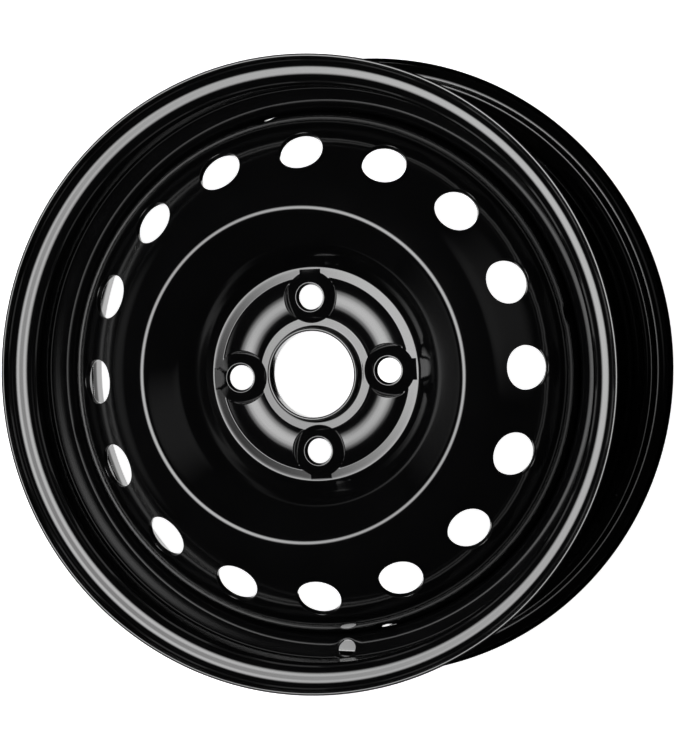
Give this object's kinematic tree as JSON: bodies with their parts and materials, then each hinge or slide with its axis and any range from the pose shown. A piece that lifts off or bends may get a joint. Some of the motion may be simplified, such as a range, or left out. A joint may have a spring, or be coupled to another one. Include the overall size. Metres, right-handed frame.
{
  "type": "steel wheel rim",
  "caption": "Pressed steel road wheel: rolled drop-centre rim welded to a dished disc with round vents, bolt bosses and a hub bore, in gloss black.",
  "frame": {"origin": "on the wheel's axis, in the plane of the inboard flange lip that the wheel lies on", "axes": "+Z along the wheel's axis, pointing outboard; +X through the axis of a bolt hole"},
  "size_m": [0.4148, 0.4148, 0.1718],
  "materials": {
    "gloss_black_coat": "gloss black stove enamel on pressed steel",
    "coated_weld": "black enamel over rippled fillet weld"
  },
  "bodies": {
    "root": {"rim": "gloss_black_coat", "wheel_disc": "gloss_black_coat", "weld_bead_1": "coated_weld", "weld_bead_2": "coated_weld", "weld_bead_3": "coated_weld", "weld_bead_4": "coated_weld", "weld_bead_5": "coated_weld", "weld_bead_6": "coated_weld", "weld_bead_7": "coated_weld", "weld_bead_8": "coated_weld"}
  },
  "joints": []
}
